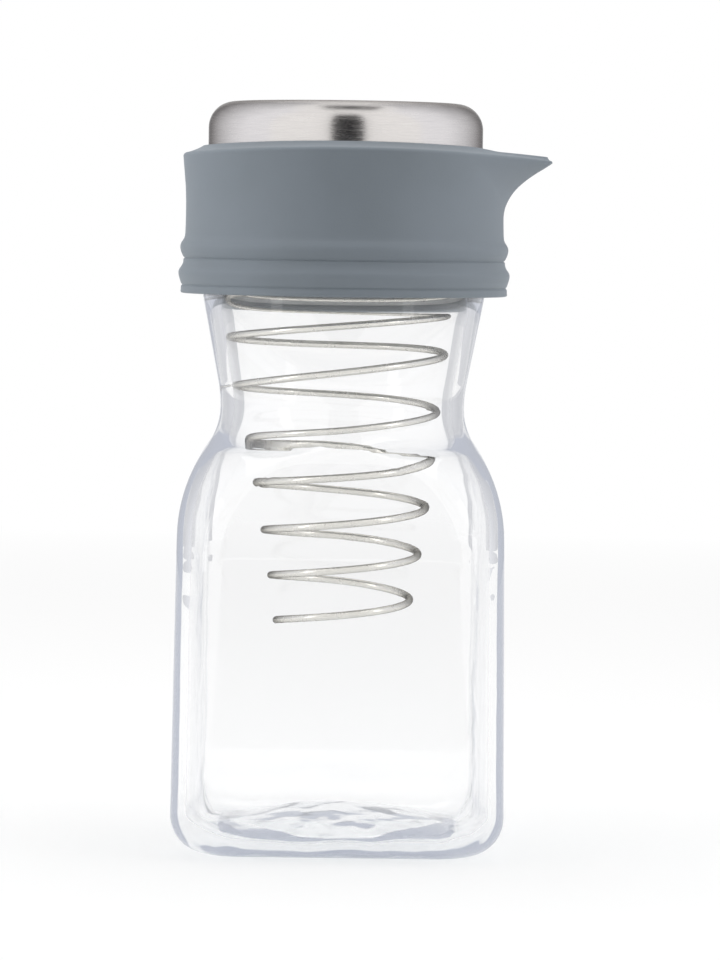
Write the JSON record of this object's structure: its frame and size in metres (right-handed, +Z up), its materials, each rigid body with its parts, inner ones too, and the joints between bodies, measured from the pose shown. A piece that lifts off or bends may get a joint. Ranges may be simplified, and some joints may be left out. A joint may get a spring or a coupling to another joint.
{
  "type": "salad dressing shaker bottle",
  "caption": "Square glass shaker bottle with a loose spring whisk in its neck, a ribbed silicone pourer with a spout, and a brushed steel stopper cap.",
  "frame": {"origin": "centre of the ring that the bottle stands on, on the table plane", "axes": "+Z up along the neck's axis, +X towards the spout, +Y to the back"},
  "size_m": [0.0823, 0.0728, 0.1629],
  "materials": {
    "glass": "clear, polished",
    "wire": "drawn stainless wire",
    "clear_silicone": "translucent, matte",
    "white_plastic": "fine matte",
    "grey_silicone": "soft matte",
    "brushed_steel": "brushed sideways"
  },
  "bodies": {
    "bottle": {"glass_bottle": "glass"},
    "whisk": {"whisk": "wire"},
    "neck_seal": {"neck_seal": "clear_silicone"},
    "pourer": {"pourer_core": "white_plastic", "pourer_sleeve": "grey_silicone"},
    "cap": {"cap_shell": "brushed_steel", "cap_body": "white_plastic", "cap_seal": "clear_silicone"}
  },
  "joints": [
    {"name": "whisk_lift", "type": "slide", "parent": "bottle", "child": "whisk", "axis": [0, 0, 1], "range_m": [0, 0.105]},
    {"name": "pourer_pull", "type": "slide", "parent": "whisk", "child": "neck_seal", "axis": [0, 0, 1], "range_m": [0, 0.03]},
    {"name": "pourer_turn", "type": "hinge", "parent": "neck_seal", "child": "pourer", "pos_m": [0, 0, 0.131], "axis": [0, 0, 1], "continuous": true},
    {"name": "cap_pull", "type": "slide", "parent": "pourer", "child": "cap", "axis": [0, 0, 1], "range_m": [0, 0.03]}
  ]
}
